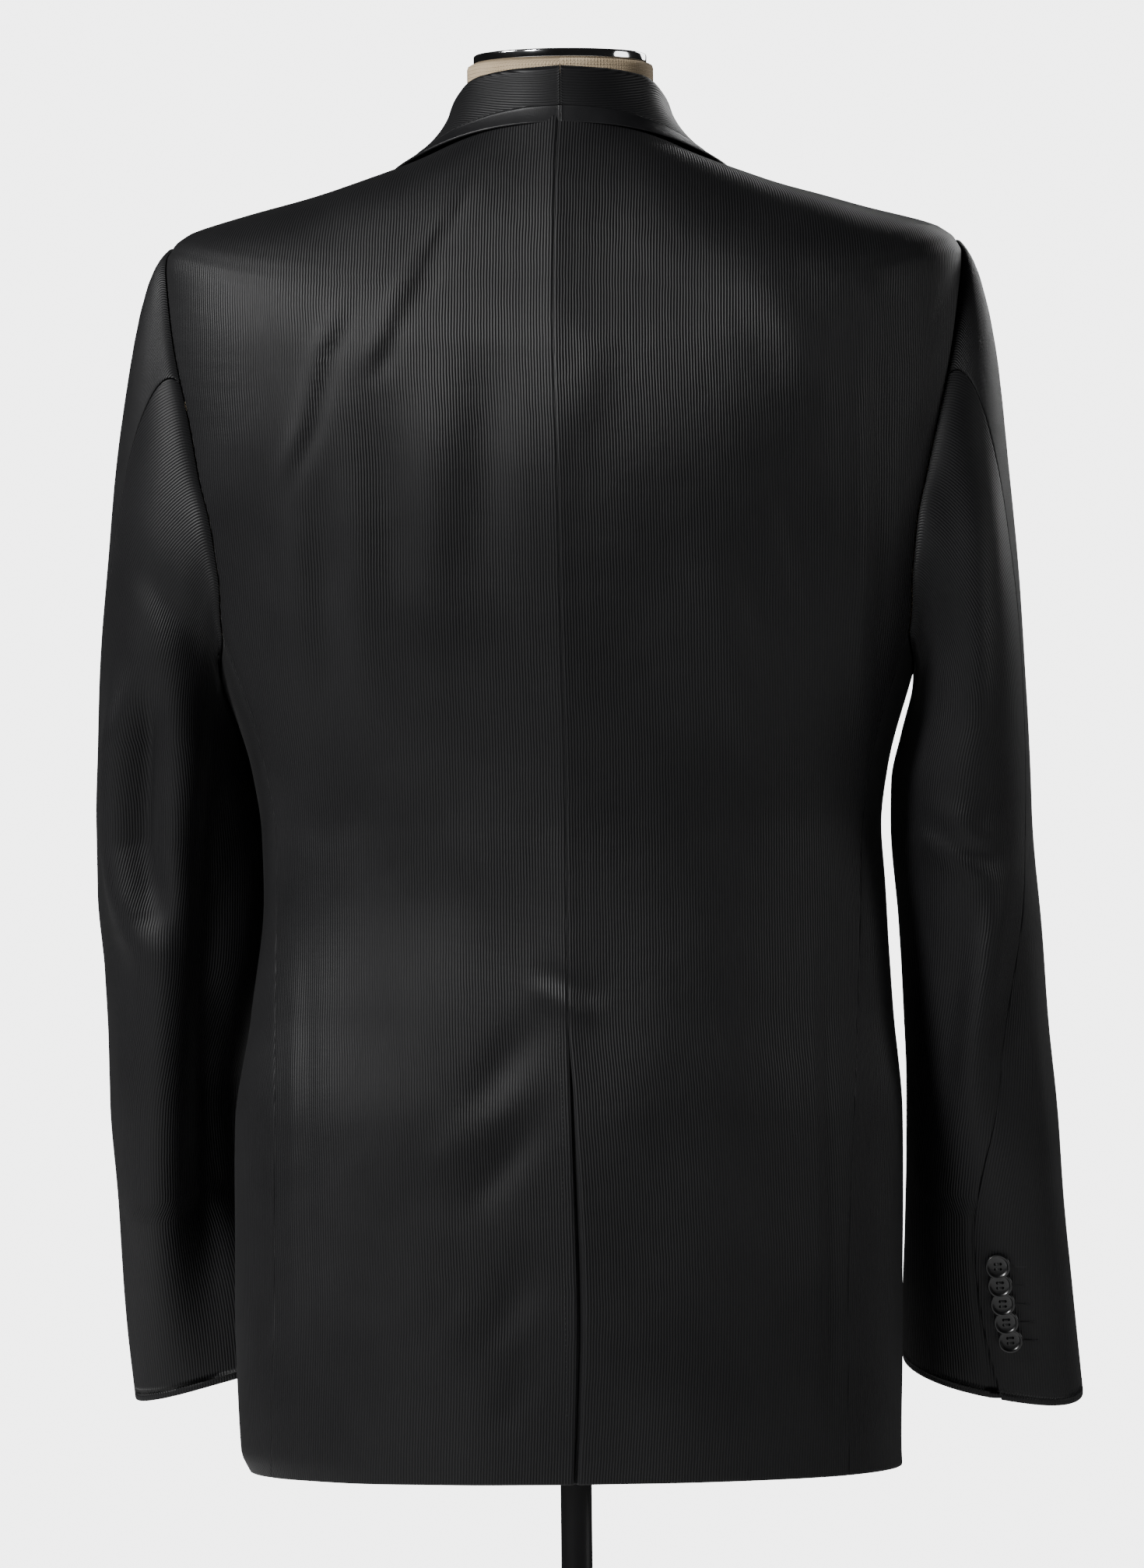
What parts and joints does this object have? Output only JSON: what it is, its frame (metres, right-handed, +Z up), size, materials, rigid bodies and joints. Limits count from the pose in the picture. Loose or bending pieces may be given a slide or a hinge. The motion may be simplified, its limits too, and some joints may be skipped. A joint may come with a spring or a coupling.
{
  "type": "blazer on a dress form",
  "caption": "Shawl-collar dinner blazer with a back vent and a buttoned front, carried by a limbless dress form on a pole and a round base; open at the hem and cuffs.",
  "frame": {"origin": "centre of the stand's base, on the floor", "axes": "+Z up the pole; +X towards the wearer's right; +Y towards the garment's front, so its back faces -Y"},
  "size_m": [0.5697, 0.34, 1.5098],
  "materials": {
    "corded_cloth": "fine corded wool with a slight sheen",
    "satin": "smooth satin",
    "button_black": "polished",
    "linen": "matt linen",
    "chrome": "polished",
    "black_metal": "satin black"
  },
  "bodies": {
    "root": {"back_left": "corded_cloth", "back_right": "corded_cloth", "side_left": "corded_cloth", "side_right": "corded_cloth", "front_left": "corded_cloth", "front_right": "corded_cloth", "upper_sleeve_left": "corded_cloth", "upper_sleeve_right": "corded_cloth", "under_sleeve_left": "corded_cloth", "under_sleeve_right": "corded_cloth", "collar_left": "corded_cloth", "collar_right": "corded_cloth", "collar_band_left": "satin", "collar_band_right": "satin", "cuff_button_left_1": "button_black", "cuff_button_left_2": "button_black", "cuff_button_left_3": "button_black", "cuff_button_left_4": "button_black", "cuff_button_left_5": "button_black", "cuff_button_right_1": "button_black", "cuff_button_right_2": "button_black", "cuff_button_right_3": "button_black", "cuff_button_right_4": "button_black", "cuff_button_right_5": "button_black", "front_button": "button_black", "form_torso": "linen", "form_neck_cap": "chrome", "form_pole": "black_metal", "form_base": "black_metal"}
  },
  "joints": []
}
